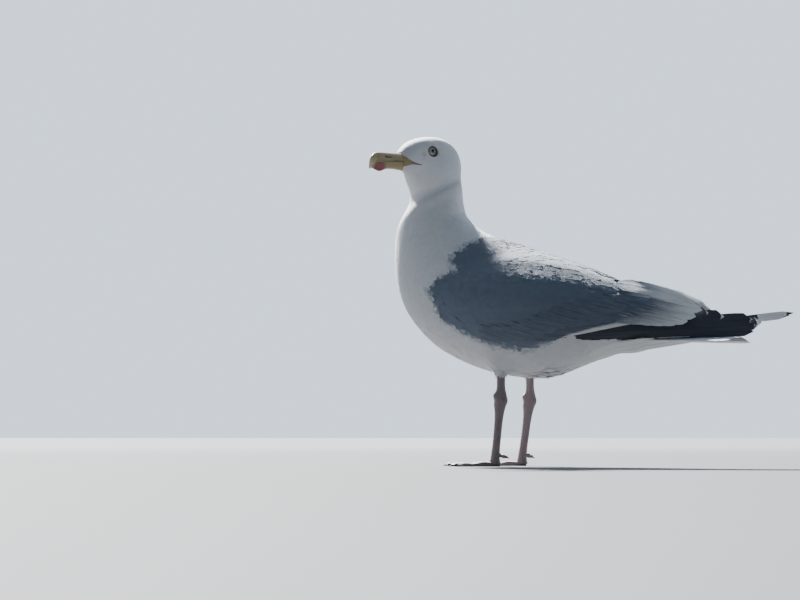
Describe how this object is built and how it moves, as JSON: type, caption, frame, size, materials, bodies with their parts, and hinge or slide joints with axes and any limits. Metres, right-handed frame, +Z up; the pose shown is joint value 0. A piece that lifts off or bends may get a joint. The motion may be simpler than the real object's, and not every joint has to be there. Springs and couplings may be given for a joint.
{
  "type": "seagull",
  "caption": "Standing adult herring gull, head turned to its left, with folded wings, hooked bill and webbed feet.",
  "frame": {"origin": "on the floor, under the middle of the bird's bounding box", "axes": "+X from the breast to the wingtips, +Y to the bird's right, +Z up"},
  "size_m": [0.44, 0.1552, 0.3503],
  "materials": {
    "white_feathers": "matt",
    "grey_feathers": "matt",
    "black_feathers": "satin",
    "bill_horn": "satin",
    "eye": "glossy",
    "leg_skin": "satin",
    "claw_horn": "satin"
  },
  "bodies": {
    "root": {"trunk": "white_feathers", "neck": "white_feathers", "head": "white_feathers", "tail": "white_feathers", "thigh_left": "white_feathers", "thigh_right": "white_feathers", "wing_left": "grey_feathers", "wing_right": "grey_feathers", "wingtip_left": "black_feathers", "wingtip_right": "black_feathers", "bill_upper": "bill_horn", "bill_lower": "bill_horn", "eye_left": "eye", "eye_right": "eye", "tibia_left": "leg_skin", "tarsus_left": "leg_skin", "foot_left": "leg_skin", "hind_toe_left": "leg_skin", "claw_left_1": "claw_horn", "claw_left_2": "claw_horn", "claw_left_3": "claw_horn", "tibia_right": "leg_skin", "tarsus_right": "leg_skin", "foot_right": "leg_skin", "hind_toe_right": "leg_skin", "claw_right_1": "claw_horn", "claw_right_2": "claw_horn", "claw_right_3": "claw_horn"}
  },
  "joints": []
}
